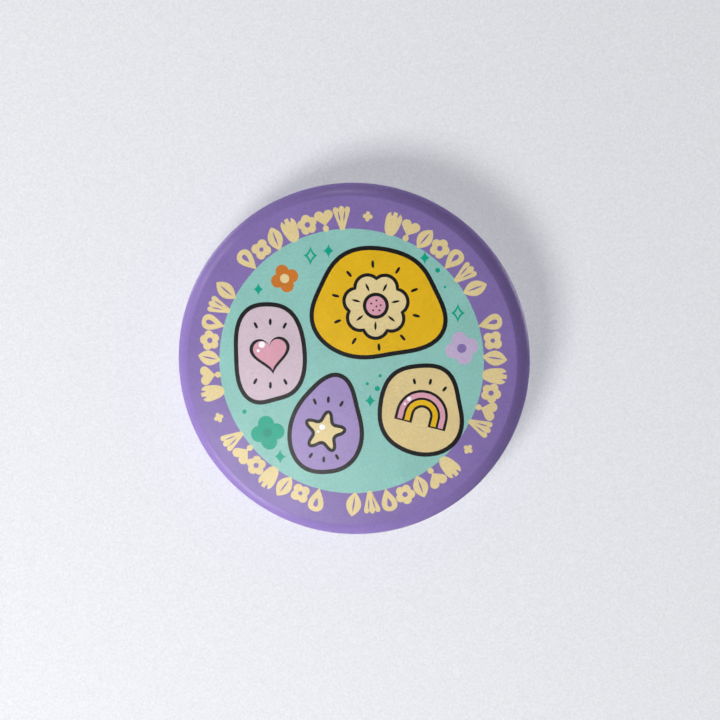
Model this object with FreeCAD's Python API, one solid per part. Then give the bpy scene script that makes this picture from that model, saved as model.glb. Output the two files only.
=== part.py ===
"""Button badge, 58 mm: a pressed tinplate dome under paper and clear film, with a locking bar pin on its back.

Units are millimetres. The badge stands as it is worn: +Z is the top of the face and -Y points out of the
face. The origin is the middle of the pin's shank, whose axis is X, so the badge's own axis lies below it.

Profiles of the round parts are drawn in (r, h): r is the distance from the badge's axis, and h is the
height in front of the plane that the rolled rim touches at the back.
"""
import FreeCAD, Part
import math
import os

from FreeCAD import Vector

# ---- driving dimensions: the round face ----
FACE_R = 29.0            # outside radius over the film
APEX_H = 6.6             # front of the dome above the rear of the rim
DOME_R = 300.0           # radius of the shallow dome
CREASE_ROUND = 0.8       # rounding of the crease between dome and band
BAND_ROUND = 3.5         # radius of the band that turns the dome into the side wall
BAND_H = 2.22            # height of the band's centre
ROLL_ROUND = 1.45        # outside radius of the roll at the back of the rim
LIP_H = 2.68             # height at which the rolled lip ends, just behind the plate's flange
FILM_T = 0.10
PAPER_T = 0.15
SHELL_T = 0.30

# ---- driving dimensions: the back plate ----
PLATE_T = 0.30
DISH_R = 19.7            # radius of the flat dish that holds the pin bar
DISH_H = 2.20            # height of the dish's rear face
LAND_IN_R = 20.7         # inner edge of the flat land
LAND_H = 1.00            # height of the land's rear face
LAND_ROUND = 0.60        # bend at the land's outer edge
DISH_BENDS = (0.45, 0.60)        # bends at the foot and the head of the dish's wall
NECK_R = 26.08           # outside radius of the neck that the lip closes on
FLANGE_H = 2.75          # height of the flange's rear face
FLANGE_R = 28.20         # outside radius of the flange
FLANGE_ROUND = 0.12      # bend between the neck and the flange

# ---- driving dimensions: the pin bar ----
BAR_RISE = 8.0           # height of the bar above the badge's axis
SHANK_H = -2.4           # height of the pin's axis, so it runs behind the rim
BAR_LONG = 32.0
BAR_WIDE = 4.8
BAR_T = 0.50
BAR_CORNER = 1.3
PAD_T = 0.80
PAD_MARGIN = 0.40        # how much smaller the pad is than the bar all round
BAR_HOLE_R = 1.0
BAR_HOLE_X = 5.5

# ---- driving dimensions: the hinge ----
HINGE_X = 13.0
EAR_GAP = 1.20           # between the two ears
EAR_T = 0.50
EAR_BEND = 0.45          # outside rounding where the ears are bent up
EAR_R = 1.70             # rounding of the ears about the rivet
EAR_FOOT = 2.30          # half the length of an ear where it meets the bar
RIVET_R = 0.50
RIVET_HEAD_R = 0.95
RIVET_HEAD_T = 0.40
RIVET_HEAD_ROUND = 0.32

# ---- driving dimensions: the pin ----
SHANK_R = 0.45
SHANK_HALF = 10.0        # half the length of the straight shank, whose middle is the origin
EYE_R = 1.45
EYE_THICK = 1.10
EYE_HOLE_R = 0.55
EYE_ROUND = 0.20
ROOT_R = 0.52            # radius of the pin where it leaves its eye
TAPER_END_X = -13.75
TAPER_R = 0.38
TIP_X = -16.0
TIP_R = 0.03

# ---- driving dimensions: the safety catch ----
CATCH_X = -12.0          # middle of the catch along the bar
HOUSING_LONG = 2.60
HOUSING_R = 2.20
HOUSING_BORE_R = 1.70
HOUSING_MOUTH = (-78.0, 32.0)    # angles that the housing leaves open, from straight back towards the top
HOUSING_NECK_WIDE = 1.80
BARREL_R = 1.65
BARREL_BORE_R = 0.62
BARREL_FLANGE_R = 1.98
BARREL_FLANGE_T = 0.35
CATCH_PLAY = 0.05
SLOT_WIDE = 1.24
LUG_ANGLE = -53.0
LUG_HALF_ANGLE = 10.0
LUG_R = 3.30
LUG_LONG = 2.00

X_AXIS = Vector(1, 0, 0)
Y_AXIS = Vector(0, 1, 0)
Z_AXIS = Vector(0, 0, 1)


def y_at(h):
    """The Y of a height above the rear plane of the rim."""
    return SHANK_H - h


def spot(r, h):
    """A point of a round part's profile."""
    return Vector(r, y_at(h), -BAR_RISE)


def on_circle(centre, radius, degrees):
    """The (r, h) point of a circle at an angle, where 0 points outwards and 90 points to the front."""
    turn = math.radians(degrees)
    return (centre[0] + radius * math.cos(turn), centre[1] + radius * math.sin(turn))


def angle_to(centre, point):
    return math.degrees(math.atan2(point[1] - centre[1], point[0] - centre[0]))


def arc(centre, radius, start, end):
    """An arc edge of a profile between two angles."""
    ends = [spot(*on_circle(centre, radius, a)) for a in (start, (start + end) / 2, end)]
    return Part.Arc(*ends).toShape()


def line(a, b):
    return Part.LineSegment(spot(*a), spot(*b)).toShape()


def meet(c1, r1, c2, r2):
    """The outermost point where two circles cross."""
    dx = c2[0] - c1[0]
    dh = c2[1] - c1[1]
    gap = math.hypot(dx, dh)
    along = (r1 * r1 - r2 * r2 + gap * gap) / (2 * gap)
    across = math.sqrt(r1 * r1 - along * along)
    found = []
    for side in (1, -1):
        found.append((c1[0] + (along * dx - side * across * dh) / gap,
                      c1[1] + (along * dh + side * across * dx) / gap))
    return max(found, key=lambda point: point[0])


def full_turn(section):
    """The solid that a closed section sweeps about the badge's axis."""
    return section.revolve(Vector(0, 0, -BAR_RISE), Y_AXIS, 360)


# ---- the wrapped layers: film, paper and tinplate share one outline, each a little further in ----
DOME_CENTRE = (0.0, APEX_H - DOME_R)
BAND_CENTRE = (FACE_R - BAND_ROUND, BAND_H)
ROLL_CENTRE = (FACE_R - ROLL_ROUND, ROLL_ROUND)
CREASE_CENTRE = meet(DOME_CENTRE, DOME_R - CREASE_ROUND, BAND_CENTRE, BAND_ROUND - CREASE_ROUND)


def outline(inset):
    """Edges from the apex to the lip of the rolled rim, inset from the film's outer surface."""
    crease_front = angle_to(DOME_CENTRE, CREASE_CENTRE)
    crease_side = angle_to(BAND_CENTRE, CREASE_CENTRE)
    wall_r = FACE_R - inset
    lip_r = ROLL_CENTRE[0] - (ROLL_ROUND - inset)
    return [
        arc(DOME_CENTRE, DOME_R - inset, 90, crease_front),
        arc(CREASE_CENTRE, CREASE_ROUND - inset, crease_front, crease_side),
        arc(BAND_CENTRE, BAND_ROUND - inset, crease_side, 0),
        line((wall_r, BAND_H), (wall_r, ROLL_ROUND)),
        arc(ROLL_CENTRE, ROLL_ROUND - inset, 0, -180),
        line((lip_r, ROLL_ROUND), (lip_r, LIP_H)),
    ]


def layer(outer, thick):
    """One wrapped layer between two insets."""
    inner = outer + thick
    lip_out = ROLL_CENTRE[0] - (ROLL_ROUND - outer)
    lip_in = ROLL_CENTRE[0] - (ROLL_ROUND - inner)
    edges = outline(outer) + outline(inner)
    edges.append(line((lip_out, LIP_H), (lip_in, LIP_H)))
    edges.append(line((0.0, APEX_H - outer), (0.0, APEX_H - inner)))
    return full_turn(Part.Face(Part.Wire(Part.__sortEdges__(edges))))


# ---- the back plate: a dish, a flat land, a neck and a flange, all of one thickness ----
def rounded_path(corners, radii):
    """A path of straight runs whose inner corners are rounded, as a wire."""
    points = [spot(*c) for c in corners]
    edges = []
    start = points[0]
    for before, corner, after, radius in zip(points, points[1:], points[2:], radii):
        back = (before - corner).normalize()
        ahead = (after - corner).normalize()
        half = back.getAngle(ahead) / 2
        reach = radius / math.tan(half)
        bisector = (back + ahead).normalize()
        centre = corner + bisector * (radius / math.sin(half))
        first = corner + back * reach
        last = corner + ahead * reach
        middle = centre - bisector * radius
        edges.append(Part.LineSegment(start, first).toShape())
        edges.append(Part.Arc(first, middle, last).toShape())
        start = last
    edges.append(Part.LineSegment(start, points[-1]).toShape())
    return Part.Wire(edges)


def back_plate():
    corners = [(0.0, DISH_H), (DISH_R, DISH_H), (LAND_IN_R, LAND_H), (NECK_R, LAND_H),
               (NECK_R, FLANGE_H), (FLANGE_R, FLANGE_H)]
    rear_face = rounded_path(corners, [*DISH_BENDS, LAND_ROUND, FLANGE_ROUND])
    return full_turn(rear_face.makeOffset2D(PLATE_T, 0, True, True, False))


# ---- the pin bar ----
def rounded_strip(long, wide, corner, h_rear, thick):
    """A flat strip along X with rounded corners, whose rear face is at h_rear."""
    strip = Part.makeBox(long, thick, wide, Vector(-long / 2, y_at(h_rear) - thick, -wide / 2))
    upright = [e for e in strip.Edges if abs(e.tangentAt(e.FirstParameter).y) > 0.99]
    return strip.makeFillet(corner, upright)


def along_x(radius, x_low, x_high):
    return Part.makeCylinder(radius, x_high - x_low, Vector(x_low, 0, 0), X_AXIS)


def wedge_about_x(radius, low, high, x_low, x_high):
    """A slice of a cylinder about the pin's axis. Angles run from straight back (+Y) towards the top (+Z)."""
    rim = [Vector(x_low, radius * math.cos(math.radians(a)), radius * math.sin(math.radians(a)))
           for a in (low, (low + high) / 2, high)]
    middle = Vector(x_low, 0, 0)
    edges = [Part.LineSegment(middle, rim[0]).toShape(), Part.Arc(*rim).toShape(),
             Part.LineSegment(rim[2], middle).toShape()]
    return Part.Face(Part.Wire(edges)).extrude(Vector(x_high - x_low, 0, 0))


BAR_REAR_H = DISH_H - PAD_T - BAR_T


def hinge_ears():
    """A channel bent up from the bar, trimmed to two rounded ears."""
    wide = EAR_GAP + 2 * EAR_T
    floor_y = y_at(BAR_REAR_H) - BAR_T
    block = Part.makeBox(2 * EAR_FOOT, EAR_R - floor_y, wide, Vector(HINGE_X - EAR_FOOT, floor_y, -wide / 2))
    bends = [e for e in block.Edges
             if abs(e.tangentAt(e.FirstParameter).x) > 0.99 and e.BoundBox.YMax < floor_y + 0.01]
    block = block.makeFillet(EAR_BEND, bends)
    gap = Part.makeBox(2 * EAR_FOOT + 2, EAR_R + 2 - y_at(BAR_REAR_H), EAR_GAP,
                       Vector(HINGE_X - EAR_FOOT - 1, y_at(BAR_REAR_H), -EAR_GAP / 2))
    foot_y = y_at(BAR_REAR_H)
    side = math.sqrt(0.5) * EAR_R
    edge_points = [Vector(HINGE_X - EAR_FOOT, floor_y, -wide), Vector(HINGE_X - EAR_FOOT, foot_y, -wide),
                   Vector(HINGE_X - EAR_R, 0, -wide)]
    left = Part.makePolygon(edge_points)
    top = Part.Arc(Vector(HINGE_X - EAR_R, 0, -wide), Vector(HINGE_X, EAR_R, -wide),
                   Vector(HINGE_X + EAR_R, 0, -wide)).toShape()
    right_points = [Vector(HINGE_X + EAR_R, 0, -wide), Vector(HINGE_X + EAR_FOOT, foot_y, -wide),
                    Vector(HINGE_X + EAR_FOOT, floor_y, -wide), Vector(HINGE_X - EAR_FOOT, floor_y, -wide)]
    right = Part.makePolygon(right_points)
    profile = Part.Face(Part.Wire(left.Edges + [top] + right.Edges)).extrude(Vector(0, 0, 2 * wide))
    hole = Part.makeCylinder(RIVET_R, 2 * wide, Vector(HINGE_X, 0, -wide), Z_AXIS)
    return block.cut(gap).common(profile).cut(hole)


def catch_housing():
    """A C-shaped collar about the pin's axis, on a neck that stands on the bar."""
    low = CATCH_X - HOUSING_LONG / 2
    high = CATCH_X + HOUSING_LONG / 2
    collar = along_x(HOUSING_R, low, high)
    neck_y = y_at(BAR_REAR_H) - BAR_T / 2
    neck = Part.makeBox(HOUSING_LONG, -neck_y - HOUSING_BORE_R, HOUSING_NECK_WIDE,
                        Vector(low, neck_y, -HOUSING_NECK_WIDE / 2))
    bore = along_x(HOUSING_BORE_R, low - 1, high + 1)
    mouth = wedge_about_x(2 * HOUSING_R, HOUSING_MOUTH[0], HOUSING_MOUTH[1], low - 1, high + 1)
    return collar.fuse(neck).cut(bore).cut(mouth)


def pin_bar():
    strip = rounded_strip(BAR_LONG, BAR_WIDE, BAR_CORNER, BAR_REAR_H, BAR_T)
    for x in (-BAR_HOLE_X, BAR_HOLE_X):
        hole = Part.makeCylinder(BAR_HOLE_R, 2 * BAR_T, Vector(x, y_at(BAR_REAR_H) - 1.5 * BAR_T, 0), Y_AXIS)
        strip = strip.cut(hole)
    return strip.fuse([hinge_ears(), catch_housing()]).removeSplitter()


def adhesive_pad():
    return rounded_strip(BAR_LONG - 2 * PAD_MARGIN, BAR_WIDE - 2 * PAD_MARGIN,
                         BAR_CORNER - PAD_MARGIN, DISH_H - PAD_T, PAD_T)


def hinge_rivet():
    """A rivet along Z with a low domed head on each ear."""
    half = EAR_GAP / 2 + EAR_T
    shank = Part.makeCylinder(RIVET_R, 2 * half, Vector(HINGE_X, 0, -half), Z_AXIS)
    heads = []
    for side in (1, -1):
        head = Part.makeCylinder(RIVET_HEAD_R, RIVET_HEAD_T, Vector(HINGE_X, 0, side * half), Z_AXIS * side)
        rim = [e for e in head.Edges if e.BoundBox.ZLength < 0.001 and abs(e.CenterOfMass.z) > half + 0.1]
        heads.append(head.makeFillet(RIVET_HEAD_ROUND, rim))
    return shank.fuse(heads).removeSplitter()


def pin_stem():
    """The pin: a flattened eye, a straight shank, a slow taper through the catch and a sharp point."""
    eye = Part.makeCylinder(EYE_R, EYE_THICK, Vector(HINGE_X, 0, -EYE_THICK / 2), Z_AXIS)
    shoulder = [e for e in eye.Edges if e.BoundBox.ZLength < 0.001]
    eye = eye.makeFillet(EYE_ROUND, shoulder)
    root = Part.makeCone(SHANK_R, ROOT_R, HINGE_X - EYE_R - SHANK_HALF, Vector(SHANK_HALF, 0, 0), X_AXIS)
    heart = along_x(ROOT_R, HINGE_X - EYE_R, HINGE_X)
    shank = along_x(SHANK_R, -SHANK_HALF, SHANK_HALF)
    taper = Part.makeCone(SHANK_R, TAPER_R, -SHANK_HALF - TAPER_END_X, Vector(-SHANK_HALF, 0, 0), -X_AXIS)
    tip = Part.makeCone(TAPER_R, TIP_R, TAPER_END_X - TIP_X, Vector(TAPER_END_X, 0, 0), -X_AXIS)
    hole = Part.makeCylinder(EYE_HOLE_R, 2 * EYE_THICK, Vector(HINGE_X, 0, -EYE_THICK), Z_AXIS)
    return eye.fuse([heart, root, shank, taper, tip]).cut(hole).removeSplitter()


def safety_catch():
    """A slotted barrel with a flange at each end and a thumb lug that stands out of the housing's mouth."""
    low = CATCH_X - HOUSING_LONG / 2 - CATCH_PLAY
    high = CATCH_X + HOUSING_LONG / 2 + CATCH_PLAY
    outer_low = low - BARREL_FLANGE_T
    outer_high = high + BARREL_FLANGE_T
    barrel = along_x(BARREL_R, low, high)
    flanges = [along_x(BARREL_FLANGE_R, outer_low, low), along_x(BARREL_FLANGE_R, high, outer_high)]
    lug = wedge_about_x(LUG_R, LUG_ANGLE - LUG_HALF_ANGLE, LUG_ANGLE + LUG_HALF_ANGLE,
                        CATCH_X - LUG_LONG / 2, CATCH_X + LUG_LONG / 2)
    slot = Part.makeBox(outer_high - outer_low + 2, 2 * BARREL_R, SLOT_WIDE,
                        Vector(outer_low - 1, 0, -SLOT_WIDE / 2))
    bore = along_x(BARREL_BORE_R, outer_low - 1, outer_high + 1)
    return barrel.fuse(flanges + [lug]).cut(slot).cut(bore).removeSplitter()


PIECES = {
    "clear_film": lambda: layer(0.0, FILM_T),
    "printed_sheet": lambda: layer(FILM_T, PAPER_T),
    "front_shell": lambda: layer(FILM_T + PAPER_T, SHELL_T),
    "back_plate": back_plate,
    "adhesive_pad": adhesive_pad,
    "pin_bar": pin_bar,
    "hinge_rivet": hinge_rivet,
    "pin_stem": pin_stem,
    "safety_catch": safety_catch,
}

os.makedirs("parts", exist_ok=True)
for name, make in PIECES.items():
    shape = make()
    box = shape.BoundBox
    print(f"{name:14s} {shape.ShapeType:8s} solids {len(shape.Solids)} valid {shape.isValid()} "
          f"volume {shape.Volume:9.2f}  x {box.XMin:.2f} {box.XMax:.2f}  y {box.YMin:.2f} {box.YMax:.2f}  "
          f"z {box.ZMin:.2f} {box.ZMax:.2f}")
    shape.exportStep(f"parts/{name}.step")
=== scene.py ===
"""Looks of the 58 mm button badge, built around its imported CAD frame.

The badge stands as it is worn: +Z is the top of the face and -Y points out of it. Lengths in this script are
in millimetres and are turned into metres where a mesh is made. Round parts are drawn in (r, h): r is the
distance from the badge's axis, and h is the height in front of the plane that the rolled rim touches.
The artwork is drawn flat in (u, v), millimetres to the right of and above the badge's axis.
"""
import math

import bmesh
import bpy
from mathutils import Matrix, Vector
from mathutils.geometry import delaunay_2d_cdt


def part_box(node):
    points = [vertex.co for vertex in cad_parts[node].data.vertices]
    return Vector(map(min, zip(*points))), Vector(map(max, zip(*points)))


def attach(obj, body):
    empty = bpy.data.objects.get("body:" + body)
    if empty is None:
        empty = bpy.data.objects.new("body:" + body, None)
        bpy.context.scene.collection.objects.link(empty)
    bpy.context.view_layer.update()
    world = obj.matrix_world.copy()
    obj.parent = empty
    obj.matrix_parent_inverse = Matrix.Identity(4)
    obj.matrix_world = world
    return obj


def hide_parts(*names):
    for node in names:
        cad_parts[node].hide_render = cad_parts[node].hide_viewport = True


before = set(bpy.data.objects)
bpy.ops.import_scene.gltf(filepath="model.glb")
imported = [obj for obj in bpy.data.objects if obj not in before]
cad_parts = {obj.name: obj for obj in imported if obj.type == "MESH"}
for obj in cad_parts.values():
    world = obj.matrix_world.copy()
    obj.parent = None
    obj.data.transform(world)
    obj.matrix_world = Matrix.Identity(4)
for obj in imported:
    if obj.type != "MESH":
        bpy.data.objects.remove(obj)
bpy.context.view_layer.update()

MM = 0.001

# ---- the round parts, as the CAD has them ----
film_low, film_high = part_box("clear_film")
FACE_R = (film_high.x - film_low.x) / 2 / MM
APEX_H = (film_high.y - film_low.y) / MM
RIM_Y = film_high.y / MM
AXIS_Z = (film_high.z + film_low.z) / 2 / MM
DOME_R = 300.0               # radius of the shallow dome
CREASE_ROUND = 0.8           # rounding of the crease between dome and band
BAND_ROUND = 3.5             # radius of the band that turns the dome into the side wall
BAND_H = 2.22                # height of the band's centre
ROLL_ROUND = 1.45            # outside radius of the roll at the back of the rim
LIP_H = 2.68                 # height at which the rolled lip ends
FILM_T = 0.10
PAPER_T = 0.15
SEAM = 0.01                  # air left between one layer and the next, so that their faces never coincide
TURNS = 384                  # straight sides in a full turn
PLEAT_DEEP = 0.12            # height of the gathers behind the rim
PLEATS = 52

# ---- the foam tape under the pin bar ----
PAD_CORNER = 0.9
PAD_BULGE = 0.11             # how far its squeezed sides stand out
PAD_GRID = 0.35
SEWING_HOLE_X = 5.5          # the bar's two holes, left and right of its middle
SEWING_HOLE_R = 1.0
PAD_RISE = 0.10              # how far the foam swells into them

# ---- the artwork ----
DISC_R = 21.65               # the inner disc
MARK_FOOT_R = 21.47          # where the ring of marks starts
MARK_TALL = 3.90
MARK_PITCH = 7.05            # degrees from one mark to the next
MARKS_IN_GROUP = 7
GROUP_GAP = 7.9              # degrees between the two groups of a phrase
PHRASES = 3
FIRST_BUD = 83.5             # angle of the first small bud, in degrees
BUD_R = 23.8
OUTLINE = 0.36               # half the width of a drawn outline
GRID = 1.5                   # spacing of the extra points that carry the dome's curve


def on_dome(u, v, inset):
    """The point of the dome's surface in front of (u, v), a little way in from the film's outer surface."""
    rise = math.sqrt((DOME_R - inset) ** 2 - u * u - v * v)
    h = APEX_H - DOME_R + rise
    return Vector((u, RIM_Y - h, AXIS_Z + v)) * MM


# ============================================================ profiles
def meet(c1, r1, c2, r2):
    """The outermost point where two circles cross."""
    dx = c2[0] - c1[0]
    dh = c2[1] - c1[1]
    gap = math.hypot(dx, dh)
    along = (r1 * r1 - r2 * r2 + gap * gap) / (2 * gap)
    across = math.sqrt(r1 * r1 - along * along)
    found = []
    for side in (1, -1):
        found.append((c1[0] + (along * dx - side * across * dh) / gap,
                      c1[1] + (along * dh + side * across * dx) / gap))
    return max(found)


DOME_CENTRE = (0.0, APEX_H - DOME_R)
BAND_CENTRE = (FACE_R - BAND_ROUND, BAND_H)
ROLL_CENTRE = (FACE_R - ROLL_ROUND, ROLL_ROUND)
CREASE_CENTRE = meet(DOME_CENTRE, DOME_R - CREASE_ROUND, BAND_CENTRE, BAND_ROUND - CREASE_ROUND)


def angle_to(centre, point):
    return math.atan2(point[1] - centre[1], point[0] - centre[0])


def arc(centre, radius, start, end, steps):
    """Points of an arc, its first point left out."""
    points = []
    for k in range(1, steps + 1):
        turn = start + (end - start) * k / steps
        points.append((centre[0] + radius * math.cos(turn), centre[1] + radius * math.sin(turn)))
    return points


CREASE_FRONT = angle_to(DOME_CENTRE, CREASE_CENTRE)
CREASE_SIDE = angle_to(BAND_CENTRE, CREASE_CENTRE)


def dome_edge_r(inset):
    """Radius at which the dome ends and the crease begins."""
    return (DOME_R - inset) * math.cos(CREASE_FRONT)


def wrap_profile(inset):
    """Points from the edge of the dome over the band, the side and the roll to the lip."""
    edge = (dome_edge_r(inset), DOME_CENTRE[1] + (DOME_R - inset) * math.sin(CREASE_FRONT))
    wall_r = FACE_R - inset
    lip_r = ROLL_CENTRE[0] - (ROLL_ROUND - inset)
    points = [edge]
    points += arc(CREASE_CENTRE, CREASE_ROUND - inset, CREASE_FRONT, CREASE_SIDE, 5)
    points += arc(BAND_CENTRE, BAND_ROUND - inset, CREASE_SIDE, 0.0, 14)
    points.append((wall_r, ROLL_ROUND))
    points += arc(ROLL_CENTRE, ROLL_ROUND - inset, 0.0, -math.pi, 20)
    points.append((lip_r, (ROLL_ROUND + LIP_H) / 2))
    points.append((lip_r, LIP_H))
    return points


def dome_profile(inset):
    """Points from the axis to just short of the dome's edge."""
    edge = dome_edge_r(inset)
    steps = round(edge / GRID)
    points = []
    for k in range(steps):
        r = edge * k / steps
        points.append((r, DOME_CENTRE[1] + math.sqrt((DOME_R - inset) ** 2 - r * r)))
    return points


def pleat(r, h, turn):
    """How far film and paper stand off the metal where they are gathered on the inside of the roll."""
    past = angle_to(ROLL_CENTRE, (r, h))
    inside = r < ROLL_CENTRE[0] and h < ROLL_CENTRE[1]
    if not inside:
        return 0.0
    fade = math.sin((-past - math.pi / 2) * 2.0) ** 2
    wave = math.sin(PLEATS * turn + 2.6 * math.sin(3 * turn) + 1.7 * math.sin(7 * turn))
    return PLEAT_DEEP * fade * max(0.0, wave) ** 2


def turned_point(r, h, turn):
    """A point of a round part, with the gathers behind the rim added."""
    stand = pleat(r, h, turn)
    if stand:
        away = angle_to(ROLL_CENTRE, (r, h))
        r += stand * math.cos(away)
        h += stand * math.sin(away)
    return Vector((r * math.cos(turn), RIM_Y - h, AXIS_Z + r * math.sin(turn))) * MM


# ============================================================ meshes
def new_object(name, mesh):
    obj = bpy.data.objects.new(name, mesh)
    bpy.context.scene.collection.objects.link(obj)
    return obj


def shade_smooth(mesh):
    mesh.polygons.foreach_set("use_smooth", [True] * len(mesh.polygons))
    mesh.update()


def add_rings(bm, profile, first_ring=None):
    """Quads round the axis along a profile. first_ring is a ring of vertices to start from."""
    rings = [first_ring] if first_ring else []
    for r, h in profile:
        if r < 1e-6:
            rings.append([bm.verts.new(turned_point(r, h, 0.0))])
            continue
        rings.append([bm.verts.new(turned_point(r, h, math.tau * k / TURNS)) for k in range(TURNS)])
    for near, far in zip(rings, rings[1:]):
        join_rings(bm, near, far)
    return rings


def join_rings(bm, near, far, material=0):
    for k in range(TURNS):
        nxt = (k + 1) % TURNS
        if len(near) == 1:
            face = bm.faces.new((near[0], far[k], far[nxt]))
        elif len(far) == 1:
            face = bm.faces.new((near[k], near[nxt], far[0]))
        else:
            face = bm.faces.new((near[k], near[nxt], far[nxt], far[k]))
        face.material_index = material


def clear_film():
    """The film: a thin closed skin over the whole face, round the edge and in behind."""
    bm = bmesh.new()
    outer = dome_profile(0.0) + wrap_profile(0.0)
    inner = dome_profile(FILM_T - SEAM) + wrap_profile(FILM_T - SEAM)
    outer_rings = add_rings(bm, outer)
    inner_start = len(bm.faces)
    inner_rings = add_rings(bm, inner)
    bm.faces.ensure_lookup_table()
    for face in bm.faces[inner_start:]:
        face.material_index = 1
    join_rings(bm, outer_rings[-1], inner_rings[-1])
    bmesh.ops.recalc_face_normals(bm, faces=bm.faces)
    mesh = bpy.data.meshes.new("clear_film")
    bm.to_mesh(mesh)
    bm.free()
    shade_smooth(mesh)
    return new_object("clear_film_skin", mesh)


# ============================================================ drawing
def placed(points, u, v, turn=0.0, scale=1.0):
    """Points turned by so many degrees, scaled, and moved to (u, v)."""
    c = math.cos(math.radians(turn)) * scale
    s = math.sin(math.radians(turn)) * scale
    return [(u + x * c - y * s, v + x * s + y * c) for x, y in points]


def polar(radius_at, steps):
    """A closed outline from a radius given for each angle."""
    outline = []
    for k in range(steps):
        turn = math.tau * k / steps
        r = radius_at(turn)
        outline.append((r * math.cos(turn), r * math.sin(turn)))
    return outline


def circle(radius, steps=28):
    return polar(lambda turn: radius, steps)


def grown(points, by):
    """A smooth outline moved outwards by a distance, or inwards if it is negative."""
    moved = []
    count = len(points)
    for k, (x, y) in enumerate(points):
        before = points[k - 1]
        after = points[(k + 1) % count]
        along = Vector((after[0] - before[0], after[1] - before[1])).normalized()
        moved.append((x + along.y * by, y - along.x * by))
    return moved


def pebble(half_wide, half_tall, waves, steps=96):
    """A rounded pebble: an oval whose radius swells by a few gentle waves, each (count, size, phase)."""
    def radius(turn):
        return 1.0 + sum(size * math.cos(count * turn + phase) for count, size, phase in waves)
    return [(x * half_wide, y * half_tall) for x, y in polar(radius, steps)]


def blossom(petals, size, petal_size=0.50, reach=0.54, steps_per_petal=16):
    """Round petals about a centre, as the outline of overlapping circles."""
    half = math.pi / petals

    def radius(turn):
        off = (turn + half) % (2 * half) - half
        return size * (reach * math.cos(off) + math.sqrt(petal_size ** 2 - (reach * math.sin(off)) ** 2))
    return polar(radius, petals * steps_per_petal)


def sparkle(half_wide, half_tall, steps=48, power=3.0):
    """A four-pointed glint with hollow sides."""
    outline = []
    for k in range(steps):
        turn = math.tau * k / steps
        x = math.copysign(abs(math.cos(turn)) ** power, math.cos(turn))
        y = math.copysign(abs(math.sin(turn)) ** power, math.sin(turn))
        outline.append((x * half_wide, y * half_tall))
    return outline


def heart(size, steps=56):
    """A heart about two sizes wide."""
    outline = []
    for k in range(steps):
        t = math.tau * k / steps
        x = 16 * math.sin(t) ** 3
        y = 13 * math.cos(t) - 5 * math.cos(2 * t) - 2 * math.cos(3 * t) - math.cos(4 * t)
        outline.append((-x * size / 16, y * size / 16))
    return outline


def soft_star(points, size, steps_per_point=16):
    def radius(turn):
        return size * (0.74 + 0.22 * math.cos(points * turn) + 0.04 * math.cos(2 * points * turn))

    return polar(radius, points * steps_per_point)


def arch(radius, leg, steps=28):
    """A half disc that stands on straight legs."""
    turns = [math.pi * k / steps for k in range(steps + 1)]
    top = [(radius * math.cos(turn), radius * math.sin(turn)) for turn in turns]
    return top + [(-radius, -leg), (radius, -leg)]


def rounded_block(half_wide, half_tall, power=3.0, steps=36, taper=0.0):
    """A chunky rounded block, wider at the top by the taper."""
    outline = []
    for k in range(steps):
        turn = math.tau * (k + 0.5) / steps
        x = math.copysign(abs(math.cos(turn)) ** (2 / power), math.cos(turn))
        y = math.copysign(abs(math.sin(turn)) ** (2 / power), math.sin(turn))
        outline.append((x * half_wide * (1 + taper * y), y * half_tall))
    return outline


def area(outline):
    """The signed area of an outline, positive if it runs anticlockwise."""
    turns = zip(outline, outline[1:] + outline[:1])
    return sum(x1 * y2 - x2 * y1 for (x1, y1), (x2, y2) in turns) / 2


class Artwork:
    """Inked shapes, listed from the bottom up."""

    def __init__(self):
        self.shapes = []

    def ink(self, name, outline):
        """Adds a shape, its outline turned to run anticlockwise."""
        self.shapes.append((name, outline if area(outline) > 0 else outline[::-1]))

    def outlined(self, name, outline, width=OUTLINE):
        self.ink("black", grown(outline, width))
        self.ink(name, grown(outline, -width))


def round_the_ring(outline, centre_turn):
    """A mark drawn upright, bent onto the ring. centre_turn is in degrees, and x runs clockwise."""
    middle_r = MARK_FOOT_R + MARK_TALL / 2
    bent = []
    for x, y in outline:
        turn = math.radians(centre_turn) - x / middle_r
        r = MARK_FOOT_R + y
        bent.append((r * math.cos(turn), r * math.sin(turn)))
    return bent


def drop(half_wide, half_tall, steps=36):
    """A drop that stands on its point."""
    outline = []
    for k in range(steps):
        t = math.tau * (k + 0.5) / steps
        outline.append((1.25 * half_wide * math.sin(t) * math.sin(t / 2) ** 1.3, -half_tall * math.cos(t)))
    return outline


def leaf(half_wide, half_tall, steps=12):
    """An almond with a point at each end."""
    side = []
    for k in range(steps):
        t = 2 * k / steps - 1
        side.append((half_wide * (1 - t * t), half_tall * t))
    return side + [(-x, -y) for x, y in side]


def fan(half_angle, tall, lobes=3, steps=30):
    """A shell that opens upwards from a narrow foot, with a scalloped edge."""
    outline = [(-0.35, 0.0), (0.35, 0.0)]
    for k in range(steps + 1):
        across = k / steps
        turn = math.pi / 2 + half_angle * (2 * across - 1)
        r = tall * (0.86 + 0.14 * abs(math.sin(lobes * math.pi * across)) ** 0.6)
        outline.append((r * math.cos(turn), r * math.sin(turn)))
    return outline


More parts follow.
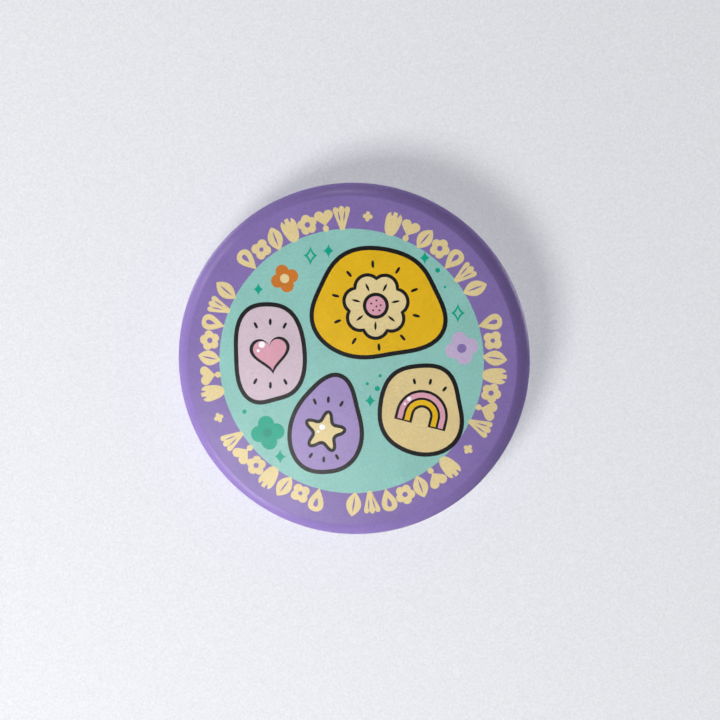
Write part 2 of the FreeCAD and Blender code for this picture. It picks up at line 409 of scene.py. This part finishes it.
def ring_mark(art, kind, turn, tall):
    """One plump mark of the ring: a petal, leaf, heart, flower, clover, shell or tulip."""
    middle = tall / 2

    def add(ink, outline, x, y, tilt=0.0):
        art.ink(ink, round_the_ring(placed(outline, x, y, tilt), turn))

    if kind == "petal":
        add("cream", drop(1.36, middle), 0, middle)
        add("purple", drop(0.40, 0.80), 0, middle * 1.22)
    elif kind == "leaf":
        add("cream", leaf(1.22, middle * 1.02), 0, middle, -10)
        add("purple", leaf(0.14, middle * 0.66), 0, middle, -10)
    elif kind == "heart":
        add("cream", heart(1.50, 40), 0, tall - 1.62)
        add("cream", circle(0.52, 20), 0, 0.55)
    elif kind == "flower":
        add("cream", blossom(5, 1.62, 0.46, 0.56, 8), 0, middle, 18)
        add("purple", circle(0.44, 20), 0, middle)
    elif kind == "clover":
        add("cream", blossom(4, 1.62, 0.48, 0.54, 9), 0, middle, 45)
        add("purple", circle(0.36, 18), 0, middle)
    elif kind == "shell":
        add("cream", fan(math.radians(23), tall), 0, 0)
        for side in (-1, 1):
            add("purple", leaf(0.11, 0.95), side * 0.42, tall * 0.58, -side * 9)
    elif kind == "tulip":
        add("cream", rounded_block(1.24, middle, 2.7, taper=0.16), 0, middle)
        for side in (-1, 1):
            add("purple", leaf(0.20, 0.85), side * 0.52, tall, -side * 6)


GROUPS = (
    ("tulip", "heart", "leaf", "flower", "petal", "shell", "leaf"),
    ("petal", "clover", "leaf", "tulip", "flower", "heart", "shell"),
)


def draw_ring(art):
    """Three phrases of plump marks, with a small bud between one phrase and the next."""
    per_phrase = 360.0 / PHRASES
    group_wide = MARKS_IN_GROUP * MARK_PITCH
    lead = (per_phrase - 2 * group_wide - GROUP_GAP) / 2
    for phrase in range(PHRASES):
        start = FIRST_BUD - phrase * per_phrase
        art.ink("cream", placed(blossom(4, 0.78, 0.45, 0.60, 8), BUD_R * math.cos(math.radians(start)),
                                BUD_R * math.sin(math.radians(start)), start))
        for group, kinds in enumerate(GROUPS):
            for k, kind in enumerate(kinds):
                turn = start - lead - group * (group_wide + GROUP_GAP) - (k + 0.5) * MARK_PITCH
                tall = MARK_TALL * (1.0 + 0.04 * math.sin(2.3 * k + 1.9 * group))
                ring_mark(art, kind, turn, tall)


def draw_glints(art, places):
    for u, v, r in places:
        art.ink("white", placed(circle(r, 16), u, v))


def draw_rays(art, u, v, reach, turns, half_long=0.62):
    """Short inked strokes that point away from a centre, each at its own angle in degrees."""
    for turn in turns:
        stroke = rounded_block(0.24, half_long, 2.4, 16)
        art.ink("black", placed(stroke, u + reach * math.cos(math.radians(turn)),
                                v + reach * math.sin(math.radians(turn)), turn - 90))


def draw_yellow_pebble(art, u, v):
    """The largest pebble: a daisy with a speckled heart inside a ring of short rays."""
    body = pebble(10.5, 9.1, ((2, 0.02, 0.2), (3, 0.07, 1.25), (4, 0.02, 2.6), (5, 0.022, 2.2)))
    art.outlined("yellow", placed(body, u, v))
    u -= 0.2
    v -= 0.1
    draw_rays(art, u, v, 6.75, [22.5 + 36 * k for k in range(10)])
    art.outlined("cream", placed(blossom(7, 4.9, 0.42, 0.66), u, v, 12), 0.28)
    for k in range(7):
        turn = 12 + 360 * k / 7
        vein_u = u + 3.3 * math.cos(math.radians(turn))
        vein_v = v + 3.3 * math.sin(math.radians(turn))
        art.ink("black", placed(leaf(0.20, 0.75), vein_u, vein_v, turn - 90))
    art.outlined("rose", placed(circle(1.85, 40), u, v), 0.28)
    for du, dv in ((-0.75, 0.35), (0.1, 0.85), (0.8, 0.1), (0.1, -0.1), (-0.45, -0.75), (0.6, -0.75)):
        art.ink("black", placed(circle(0.16, 12), u + du, v + dv))


def draw_pink_pebble(art, u, v):
    """A tall pebble with a heart."""
    body = pebble(5.85, 8.35, ((1, 0.02, -1.4), (2, 0.02, -0.9), (3, 0.035, 0.4), (4, 0.045, 2.9)))
    art.outlined("blush", placed(body, u, v, 2))
    art.ink("black", placed(heart(3.35), u + 0.2, v + 0.2, 8))
    art.ink("rose", placed(heart(2.78), u + 0.2, v + 0.27, 8))
    draw_glints(art, ((u - 1.2, v + 1.55, 0.52), (u - 1.8, v + 0.55, 0.25)))
    draw_rays(art, u + 0.2, v + 0.2, 5.1, (62, 90, 118), 0.55)
    draw_rays(art, u + 0.2, v + 0.2, 5.3, (242, 270, 298), 0.55)


def draw_purple_pebble(art, u, v):
    """A pebble with a soft star, narrower at its top."""
    body = pebble(5.7, 8.1, ((1, 0.07, 1.7), (3, 0.075, 1.5), (4, 0.02, 1.0)))
    art.outlined("lilac", placed(body, u, v, -12))
    art.outlined("cream", placed(soft_star(5, 3.35), u - 0.5, v - 1.3, 78), 0.28)
    draw_glints(art, ((u - 0.9, v - 0.55, 0.48), (u - 1.55, v - 1.3, 0.23)))
    draw_rays(art, u - 0.2, v - 1.0, 5.0, (60, 86, 112), 0.55)
    draw_rays(art, u - 0.5, v - 1.3, 4.6, (240, 268, 296), 0.5)


def draw_cream_pebble(art, u, v):
    """A rounded pebble with a small rainbow."""
    body = pebble(6.8, 7.45, ((2, 0.025, 1.6), (3, 0.03, 2.2), (4, 0.03, 2.5), (5, 0.015, 1.0)))
    art.outlined("sand", placed(body, u, v, -6))
    leg = 1.3
    lean = -14
    base_u = u + 0.1
    base_v = v - 0.9
    for name, radius, foot in (("black", 4.25, 0.25), ("rose", 3.80, 0.0), ("black", 2.98, 0.0),
                               ("yellow", 2.60, 0.0), ("black", 1.76, 0.25), ("sand", 1.34, 0.26)):
        art.ink(name, placed(arch(radius, leg + foot), base_u, base_v, lean))
    draw_glints(art, ((u - 1.95, v + 1.85, 0.36), (u - 2.65, v + 1.05, 0.2)))
    draw_rays(art, base_u, base_v, 5.75, (50, 76, 102), 0.5)


def draw_small_things(art):
    """Flowers, glints and dots between the pebbles."""
    for name, heart_ink, u, v, size, turn in (("orange", "cream", -10.84, 13.48, 2.22, 20),
                                              ("mauve", "purple", 18.06, 2.37, 2.60, 15),
                                              ("green", "leaf", -13.70, -11.83, 2.70, 10)):
        art.ink(name, placed(blossom(4, size), u, v, turn))
        art.ink(heart_ink, placed(circle(0.75), u, v))
    for u, v in ((-6.60, 17.23), (17.41, 8.09)):
        art.ink("green", placed(sparkle(1.18, 1.66, power=2.9), u, v))
        art.ink("teal", placed(sparkle(0.58, 0.90, 32, 2.7), u, v))
    for u, v, size in ((-3.66, 18.05, 0.92), (-15.17, 11.68, 0.86), (12.0, 17.0, 0.86), (3.2, -6.3, 0.92),
                       (-11.66, -15.75, 0.98)):
        art.ink("green", placed(sparkle(1.0, 1.28), u, v, 0, size))
    for u, v, r in ((14.1, 15.0, 0.40), (15.3, 12.3, 0.22), (-17.54, -8.41, 0.38), (4.83, -2.20, 0.27),
                    (2.71, -3.51, 0.27), (4.35, -4.3, 0.42)):
        art.ink("green", placed(circle(r, 18), u, v))


def draw_artwork():
    art = Artwork()
    art.ink("purple", circle(dome_edge_r(FILM_T), TURNS))
    art.ink("teal", circle(DISC_R, TURNS))
    draw_ring(art)
    draw_small_things(art)
    draw_yellow_pebble(art, 4.3, 9.3)
    draw_pink_pebble(art, -13.4, 1.1)
    draw_purple_pebble(art, -3.8, -10.2)
    draw_cream_pebble(art, 11.5, -7.8)
    return art


# ============================================================ materials
def srgb(r, g, b):
    """A colour given as 0 to 255 steps, in linear light."""
    linear = []
    for step in (r, g, b):
        c = step / 255
        linear.append(c / 12.92 if c <= 0.04045 else ((c + 0.055) / 1.055) ** 2.4)
    return (*linear, 1.0)


def shaded(colour, factor):
    return (*(min(1.0, c * factor) for c in colour[:3]), 1.0)


class Nodes:
    """A material's node tree, with short ways to add to it."""

    def __init__(self, name):
        self.material = bpy.data.materials.new(name)
        self.material.use_nodes = True
        self.tree = self.material.node_tree
        self.tree.nodes.clear()

    def add(self, kind, **values):
        node = self.tree.nodes.new(kind)
        for key, value in values.items():
            setattr(node, key, value)
        return node

    def link(self, out, into):
        self.tree.links.new(out, into)

    def position(self, scale, tilt=0.0):
        """Object coordinates in millimetres times a scale, turned about Y by a tilt in degrees."""
        coords = self.add("ShaderNodeTexCoord")
        mapping = self.add("ShaderNodeMapping", vector_type="TEXTURE")
        mapping.inputs["Rotation"].default_value = (0, math.radians(tilt), 0)
        mapping.inputs["Scale"].default_value = [MM / s for s in scale]
        self.link(coords.outputs["Object"], mapping.inputs["Vector"])
        return mapping.outputs["Vector"]

    def noise(self, scale, detail=3.0, rough=0.55, stretch=(1, 1, 1), tilt=0.0):
        texture = self.add("ShaderNodeTexNoise")
        texture.inputs["Scale"].default_value = 1.0
        texture.inputs["Detail"].default_value = detail
        texture.inputs["Roughness"].default_value = rough
        self.link(self.position([scale * s for s in stretch], tilt), texture.inputs["Vector"])
        return texture.outputs["Fac"]

    def ramp(self, factor, stops):
        """A colour ramp with stops of (place, colour)."""
        ramp = self.add("ShaderNodeValToRGB")
        elements = ramp.color_ramp.elements
        while len(elements) < len(stops):
            elements.new(0.5)
        for element, (place, colour) in zip(elements, stops):
            element.position = place
            element.color = colour
        self.link(factor, ramp.inputs["Fac"])
        return ramp.outputs["Color"]

    def span(self, factor, low, high, from_low=0.35, from_high=0.65):
        """A factor stretched onto another range."""
        node = self.add("ShaderNodeMapRange")
        node.inputs["From Min"].default_value = from_low
        node.inputs["From Max"].default_value = from_high
        node.inputs["To Min"].default_value = low
        node.inputs["To Max"].default_value = high
        self.link(factor, node.inputs["Value"])
        return node.outputs["Result"]

    def bump(self, height, distance, strength=1.0, before=None):
        node = self.add("ShaderNodeBump")
        node.inputs["Strength"].default_value = strength
        node.inputs["Distance"].default_value = distance * MM
        self.link(height, node.inputs["Height"])
        if before is not None:
            self.link(before, node.inputs["Normal"])
        return node.outputs["Normal"]

    def surface(self, shader):
        out = self.add("ShaderNodeOutputMaterial")
        self.link(shader, out.inputs["Surface"])
        return self.material


INKS = {
    "purple": (124, 104, 162),
    "teal": (132, 184, 175),
    "cream": (212, 193, 141),
    "sand": (208, 187, 134),
    "yellow": (214, 170, 22),
    "blush": (195, 176, 187),
    "lilac": (150, 131, 180),
    "mauve": (181, 163, 194),
    "rose": (204, 148, 164),
    "orange": (188, 110, 38),
    "green": (0, 153, 126),
    "leaf": (0, 136, 112),
    "black": (20, 18, 20),
    "white": (232, 232, 236),
}


def ink_material(name, colour):
    """Ink on coated paper: a faint fibre grain and slow changes in how dense the ink is."""
    n = Nodes(f"ink_{name}")
    base = srgb(*colour)
    fibre = n.noise(2.9, 4.0, 0.65, (1, 1, 1.6))
    dense = n.noise(0.16, 2.0)
    mixed = n.add("ShaderNodeMix", data_type="FLOAT")
    mixed.inputs["Factor"].default_value = 0.28
    n.link(fibre, mixed.inputs[2])
    n.link(dense, mixed.inputs[3])
    tone = n.ramp(mixed.outputs[0], ((0.30, shaded(base, 0.84)), (0.70, shaded(base, 1.14))))
    shader = n.add("ShaderNodeBsdfPrincipled")
    shader.inputs["Roughness"].default_value = 0.6
    shader.inputs["Specular IOR Level"].default_value = 0.0
    n.link(tone, shader.inputs["Base Color"])
    n.link(n.bump(fibre, 0.02, 0.6), shader.inputs["Normal"])
    return n.surface(shader.outputs["BSDF"])


FILM_GLOSS = 0.017           # share of light that the film reflects where it is seen straight on
FILM_GLOSS_EDGE = 0.16       # and where it is seen edge on


def film_material():
    """Clear satin film: nothing but its gloss is seen."""
    n = Nodes("satin_clear_film")
    texture = n.noise(1.1, 3.0)
    clear = n.add("ShaderNodeBsdfTransparent")
    gloss = n.add("ShaderNodeBsdfGlossy")
    n.link(n.span(texture, 0.23, 0.30), gloss.inputs["Roughness"])
    n.link(n.bump(texture, 0.004, 0.5), gloss.inputs["Normal"])
    tilt = n.add("ShaderNodeLayerWeight")
    tilt.inputs["Blend"].default_value = 0.5
    steep = n.add("ShaderNodeMath", operation="POWER")
    steep.inputs[1].default_value = 5.0
    n.link(tilt.outputs["Facing"], steep.inputs[0])
    mix = n.add("ShaderNodeMixShader")
    n.link(n.span(steep.outputs[0], FILM_GLOSS, FILM_GLOSS_EDGE, 0.0, 1.0), mix.inputs["Fac"])
    n.link(clear.outputs["BSDF"], mix.inputs[1])
    n.link(gloss.outputs["BSDF"], mix.inputs[2])
    return n.surface(mix.outputs["Shader"])


def film_inside_material():
    """The film's inner surface, which is stuck to the paper and shows nothing."""
    n = Nodes("film_inner_face")
    clear = n.add("ShaderNodeBsdfTransparent")
    tint = n.ramp(n.noise(0.5), ((0.3, (0.985, 0.985, 0.985, 1)), (0.7, (1, 1, 1, 1))))
    n.link(tint, clear.inputs["Color"])
    return n.surface(clear.outputs["BSDF"])


def paper_back_material():
    n = Nodes("paper_back")
    fibre = n.noise(3.0, 5.0, 0.65)
    shader = n.add("ShaderNodeBsdfPrincipled")
    shader.inputs["Roughness"].default_value = 0.85
    n.link(n.ramp(fibre, ((0.3, srgb(214, 212, 206)), (0.7, srgb(238, 237, 232)))),
           shader.inputs["Base Color"])
    n.link(n.bump(fibre, 0.03, 0.8), shader.inputs["Normal"])
    return n.surface(shader.outputs["BSDF"])


def metal_material(name, colour, rough_low, rough_high, grain, grain_deep=0.0012, edge=0.05):
    """Bare or plated sheet: rolling lines, a slow unevenness, a few long scratches and worn, rounded edges.

    grain gives the lines per millimetre along x, y and z: the smallest is the way that they run.
    """
    n = Nodes(name)
    base = srgb(*colour)
    lines = n.noise(1.0, 4.0, 0.6, grain)
    cloud = n.noise(0.12, 2.0, 0.4)
    scratch = n.noise(1.0, 1.0, 0.4, (0.10, 4.5, 4.5), tilt=38.0)
    scored = n.span(scratch, 0.0, 1.0, 0.70, 0.74)
    shader = n.add("ShaderNodeBsdfPrincipled")
    shader.inputs["Metallic"].default_value = 1.0
    n.link(n.ramp(lines, ((0.35, shaded(base, 0.955)), (0.65, base))), shader.inputs["Base Color"])
    both = n.add("ShaderNodeMix", data_type="FLOAT")
    both.inputs["Factor"].default_value = 0.45
    n.link(lines, both.inputs[2])
    n.link(cloud, both.inputs[3])
    n.link(n.span(both.outputs[0], rough_low, rough_high, 0.40, 0.60), shader.inputs["Roughness"])
    rounded = n.add("ShaderNodeBevel", samples=4)
    rounded.inputs["Radius"].default_value = edge * MM
    uneven = n.bump(cloud, 0.05, 0.35, rounded.outputs["Normal"])
    lined = n.bump(lines, grain_deep, 0.8, uneven)
    n.link(n.bump(scored, -0.0012, 0.6, lined), shader.inputs["Normal"])
    return n.surface(shader.outputs["BSDF"])


def foam_material():
    """White closed-cell foam tape, with painted shade in the hollow of each cell."""
    n = Nodes("foam_tape")
    cells = n.add("ShaderNodeTexVoronoi")
    cells.inputs["Scale"].default_value = 1.0
    n.link(n.position((7, 7, 7)), cells.inputs["Vector"])
    shader = n.add("ShaderNodeBsdfPrincipled")
    shader.inputs["Roughness"].default_value = 0.9
    shader.inputs["Subsurface Weight"].default_value = 0.1
    shader.inputs["Subsurface Scale"].default_value = 0.0004
    # painted shade: darker at the middle of each cell, where the bump below sinks it into a hollow
    n.link(n.ramp(cells.outputs["Distance"], ((0.0, srgb(200, 198, 190)), (0.6, srgb(236, 235, 228)))),
           shader.inputs["Base Color"])
    n.link(n.bump(cells.outputs["Distance"], 0.06, 0.8), shader.inputs["Normal"])
    return n.surface(shader.outputs["BSDF"])


# ============================================================ the printed sheet
def ink_faces(art):
    """The flat artwork cut into triangles: points, and (triangle, ink name) for each."""
    points = []
    outlines = []
    for _, outline in art.shapes:
        outlines.append(list(range(len(points), len(points) + len(outline))))
        points += [Vector(p) for p in outline]
    edge_r = dome_edge_r(FILM_T)
    reach = int(edge_r / GRID)
    for row in range(-reach, reach + 1):
        for column in range(-reach, reach + 1):
            spot = Vector(((column + 0.5 * (row % 2)) * GRID, row * GRID * 0.866))
            if spot.length < edge_r - 0.6 * GRID:
                points.append(spot)
    made = delaunay_2d_cdt(points, [], outlines, 1, 1e-6, True)
    flat, triangles, sources = made[0], made[2], made[5]
    names = [art.shapes[max(inside)][0] for inside in sources]
    return flat, list(zip(triangles, names))


def printed_sheet(art):
    """The paper: inked in front, wrapped round the edge, plain behind."""
    names = list(INKS)
    flat, triangles = ink_faces(art)
    bm = bmesh.new()
    verts = [bm.verts.new(on_dome(p.x, p.y, FILM_T)) for p in flat]
    for corners, name in triangles:
        face = bm.faces.new([verts[k] for k in corners])
        face.material_index = names.index(name)
    edge_r = dome_edge_r(FILM_T)
    rim = sorted((k for k, p in enumerate(flat) if abs(p.length - edge_r) < 1e-3),
                 key=lambda k: math.atan2(flat[k].y, flat[k].x) % (math.tau - 1e-4))
    first_ring = [verts[k] for k in rim]
    if len(first_ring) != TURNS:
        raise ValueError(f"the face's edge has {len(first_ring)} points and the wrap has {TURNS}")
    outer_rings = add_rings(bm, wrap_profile(FILM_T)[1:], first_ring)
    back_start = len(bm.faces)
    back = FILM_T + PAPER_T - SEAM
    inner_rings = add_rings(bm, dome_profile(back) + wrap_profile(back))
    join_rings(bm, outer_rings[-1], inner_rings[-1])
    bm.faces.ensure_lookup_table()
    for face in bm.faces[back_start:]:
        face.material_index = len(names)
    bmesh.ops.recalc_face_normals(bm, faces=bm.faces)
    mesh = bpy.data.meshes.new("printed_sheet")
    bm.to_mesh(mesh)
    bm.free()
    shade_smooth(mesh)
    for name in names:
        mesh.materials.append(ink_material(name, INKS[name]))
    mesh.materials.append(paper_back_material())
    return new_object("printed_sheet_paper", mesh)


# ============================================================ the foam tape
def rounded_rectangle(half_x, half_z, corner, steps=10):
    """The outline of a rectangle with round corners, with points along its sides too."""
    outline = []
    for k, (sx, sz) in enumerate(((1, 1), (-1, 1), (-1, -1), (1, -1))):
        centre = (sx * (half_x - corner), sz * (half_z - corner))
        start = k * math.pi / 2
        outline += [(centre[0] + corner * math.cos(start), centre[1] + corner * math.sin(start))]
        outline += arc(centre, corner, start, start + math.pi / 2, steps)
    dense = []
    for (x1, z1), (x2, z2) in zip(outline, outline[1:] + outline[:1]):
        pieces = max(1, round(math.hypot(x2 - x1, z2 - z1) / PAD_GRID))
        dense += [(x1 + (x2 - x1) * k / pieces, z1 + (z2 - z1) * k / pieces) for k in range(pieces)]
    return dense


def foam_rise(x, z):
    """How far the pad's rear face swells into the bar's sewing holes."""
    off = math.hypot(abs(x) - SEWING_HOLE_X, z) / (0.85 * SEWING_HOLE_R)
    return PAD_RISE * max(0.0, 1 - off * off) ** 2


def foam_pad(levels=6):
    """The foam tape, squeezed flat between the back plate and the bar, so that its sides bulge."""
    low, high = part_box("adhesive_pad")
    half_x = (high.x - low.x) / 2 / MM
    half_z = (high.z - low.z) / 2 / MM
    front_y = low.y / MM + SEAM
    rear_y = high.y / MM - SEAM
    outline = rounded_rectangle(half_x, half_z, PAD_CORNER)
    points = [Vector(p) for p in outline]
    for column in range(int(-half_x / PAD_GRID), int(half_x / PAD_GRID) + 1):
        for row in range(int(-half_z / PAD_GRID), int(half_z / PAD_GRID) + 1):
            x = column * PAD_GRID
            z = (row + 0.5 * (column % 2)) * PAD_GRID
            if abs(x) < half_x - PAD_CORNER / 2 and abs(z) < half_z - PAD_GRID / 2:
                points.append(Vector((x, z)))
    made = delaunay_2d_cdt(points, [], [list(range(len(outline)))], 1, 1e-6, True)
    flat, triangles, sources = made[0], made[2], made[3]
    rim = {source: k for k, several in enumerate(sources) for source in several if source < len(outline)}
    bm = bmesh.new()
    front = [bm.verts.new(Vector((p.x, front_y, p.y)) * MM) for p in flat]
    rear = [bm.verts.new(Vector((p.x, rear_y + foam_rise(p.x, p.y), p.y)) * MM) for p in flat]
    for corners in triangles:
        bm.faces.new([front[k] for k in corners])
        bm.faces.new([rear[k] for k in corners])
    rings = [[front[rim[k]] for k in range(len(outline))]]
    for level in range(1, levels):
        t = level / levels
        stood = grown(outline, PAD_BULGE * math.sin(math.pi * t))
        ring = []
        for x, z in stood:
            uneven = 1 + 0.004 * math.sin(2.3 * x + 1.1 * z)
            ring.append(bm.verts.new(Vector((x, front_y + (rear_y - front_y) * t, z * uneven)) * MM))
        rings.append(ring)
    rings.append([rear[rim[k]] for k in range(len(outline))])
    for near, far in zip(rings, rings[1:]):
        for k in range(len(outline)):
            nxt = (k + 1) % len(outline)
            bm.faces.new((near[k], near[nxt], far[nxt], far[k]))
    bmesh.ops.recalc_face_normals(bm, faces=bm.faces)
    mesh = bpy.data.meshes.new("foam_pad")
    bm.to_mesh(mesh)
    bm.free()
    shade_smooth(mesh)
    return new_object("foam_pad", mesh)


# ============================================================ pieces
film = clear_film()
film.data.materials.append(film_material())
film.data.materials.append(film_inside_material())
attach(film, "badge")
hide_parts("clear_film")

sheet = printed_sheet(draw_artwork())
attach(sheet, "badge")
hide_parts("printed_sheet")


def dress(node, material):
    """Gives a CAD node its material."""
    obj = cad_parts[node]
    obj.data.materials.clear()
    obj.data.materials.append(material)


tinplate = metal_material("tinplate", (214, 215, 217), 0.17, 0.25, (0.5, 16.0, 16.0), 0.0004)
nickel = metal_material("nickel_plate", (218, 213, 204), 0.12, 0.19, (0.8, 14.0, 14.0), 0.0003)
steel = metal_material("polished_pin_steel", (206, 207, 210), 0.12, 0.18, (0.4, 7.0, 7.0), 0.0002, 0.03)
foam = foam_material()
for node in ("front_shell", "back_plate"):
    dress(node, tinplate)
for node in ("pin_bar", "hinge_rivet", "safety_catch"):
    dress(node, nickel)
dress("pin_stem", steel)
dress("adhesive_pad", foam)

pad = foam_pad()
pad.data.materials.append(foam)
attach(pad, "badge")
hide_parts("adhesive_pad")


# ============================================================ stage, light and camera
LEAN = math.radians(5.9)             # how far the camera stands to the right of and above the face's axis
CAMERA_FAR = 0.52
FRAME_WIDE = 117.75 * MM             # width of what the camera sees at the badge
AIM_RIGHT = 1.20 * MM                # how far to the right of the badge's middle the camera aims
SURFACE_HALF = 0.40                  # half the width of the pale surface
SKY_DIM = 0.22                       # strength of the sky on its dark side
SKY_BRIGHT = 0.52                    # and on its bright side
LIGHTS = (
    # name, direction (right, up, toward the camera), distance, size, power, whether it casts shadows
    ("key", (-0.46, -0.53, 1.0), 0.50, 0.17, 1.16, True),
    ("side", (-0.90, -1.0, 0.22), 0.80, 0.40, 6.2, False),
    ("upper_left", (-1.0, 0.42, 0.28), 0.80, 0.30, 1.6, False),
    ("top", (-0.20, 1.0, 0.34), 0.80, 0.20, 0.9, False),
    ("rear_left", (-0.8, 0.5, -0.9), 0.8, 0.3, 2.6, True),
    ("rear_right", (0.9, 0.3, -0.8), 0.8, 0.3, 2.2, True),
)

toward = Vector((math.sin(LEAN) * math.cos(LEAN), -math.cos(LEAN) * math.cos(LEAN), math.sin(LEAN)))
right = Vector((0, 0, 1)).cross(toward).normalized()
up = toward.cross(right)
badge_centre = Vector((0, (film_low.y + film_high.y) / 2, AXIS_Z * MM))


def lowest_reach():
    """How far the badge reaches back along the line of sight, so that the surface just touches it."""
    return min(v.co.dot(toward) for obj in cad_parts.values() for v in obj.data.vertices)


def backdrop():
    """The pale surface that the badge lies on, seen only from its front."""
    n = Nodes("pale_surface")
    grain = n.noise(2.6, 5.0, 0.62)
    lit = n.add("ShaderNodeBsdfPrincipled")
    lit.inputs["Roughness"].default_value = 0.9
    lit.inputs["Specular IOR Level"].default_value = 0.1
    n.link(n.ramp(grain, ((0.3, srgb(225, 226, 229)), (0.7, srgb(241, 242, 245)))), lit.inputs["Base Color"])
    side = n.add("ShaderNodeNewGeometry")
    clear = n.add("ShaderNodeBsdfTransparent")
    mix = n.add("ShaderNodeMixShader")
    n.link(side.outputs["Backfacing"], mix.inputs["Fac"])
    n.link(lit.outputs["BSDF"], mix.inputs[1])
    n.link(clear.outputs["BSDF"], mix.inputs[2])
    material = n.surface(mix.outputs["Shader"])
    middle = badge_centre + toward * (lowest_reach() - badge_centre.dot(toward))
    across = right * SURFACE_HALF
    along = up * SURFACE_HALF
    corners = [middle + across * a + along * b for a, b in ((-1, -1), (1, -1), (1, 1), (-1, 1))]
    mesh = bpy.data.meshes.new("pale_surface")
    mesh.from_pydata(corners, [], [(0, 1, 2, 3)])
    mesh.materials.append(material)
    surface = new_object("pale_surface", mesh)
    surface.visible_shadow = False


def area_light(name, direction, distance, size, power, casts):
    """A square soft light that faces the badge. direction is (right, up, toward the camera)."""
    data = bpy.data.lights.new(name, "AREA")
    data.energy = power
    data.size = size
    data.use_shadow = casts
    lamp = bpy.data.objects.new(name, data)
    bpy.context.scene.collection.objects.link(lamp)
    way = (right * direction[0] + up * direction[1] + toward * direction[2]).normalized()
    lamp.location = badge_centre + way * distance
    lamp.rotation_euler = way.to_track_quat("Z", "Y").to_euler()


def sky():
    """Soft light from all round, brightest from the left and below."""
    world = bpy.data.worlds.new("studio")
    bpy.context.scene.world = world
    world.use_nodes = True
    tree = world.node_tree
    background = tree.nodes["Background"]
    background.inputs["Color"].default_value = srgb(238, 239, 243)
    direction = tree.nodes.new("ShaderNodeTexCoord")
    along = tree.nodes.new("ShaderNodeVectorMath")
    along.operation = "DOT_PRODUCT"
    along.inputs[1].default_value = (toward * 0.25 - right * 0.80 - up * 0.55).normalized()
    tree.links.new(direction.outputs["Generated"], along.inputs[0])
    strength = tree.nodes.new("ShaderNodeMapRange")
    strength.inputs["From Min"].default_value = -1.0
    strength.inputs["From Max"].default_value = 1.0
    strength.inputs["To Min"].default_value = SKY_DIM
    strength.inputs["To Max"].default_value = SKY_BRIGHT
    tree.links.new(along.outputs["Value"], strength.inputs["Value"])
    tree.links.new(strength.outputs["Result"], background.inputs["Strength"])


def camera():
    """A long lens, square on to the pale surface."""
    data = bpy.data.cameras.new("camera")
    data.lens = data.sensor_width * CAMERA_FAR / FRAME_WIDE
    data.clip_start = 0.01
    cam = bpy.data.objects.new("camera", data)
    bpy.context.scene.collection.objects.link(cam)
    aim = badge_centre + right * AIM_RIGHT
    cam.location = aim + toward * CAMERA_FAR
    cam.rotation_euler = toward.to_track_quat("Z", "Y").to_euler()
    bpy.context.scene.camera = cam


backdrop()
for light in LIGHTS:
    area_light(*light)
sky()
camera()
bpy.context.scene.view_settings.view_transform = "Standard"
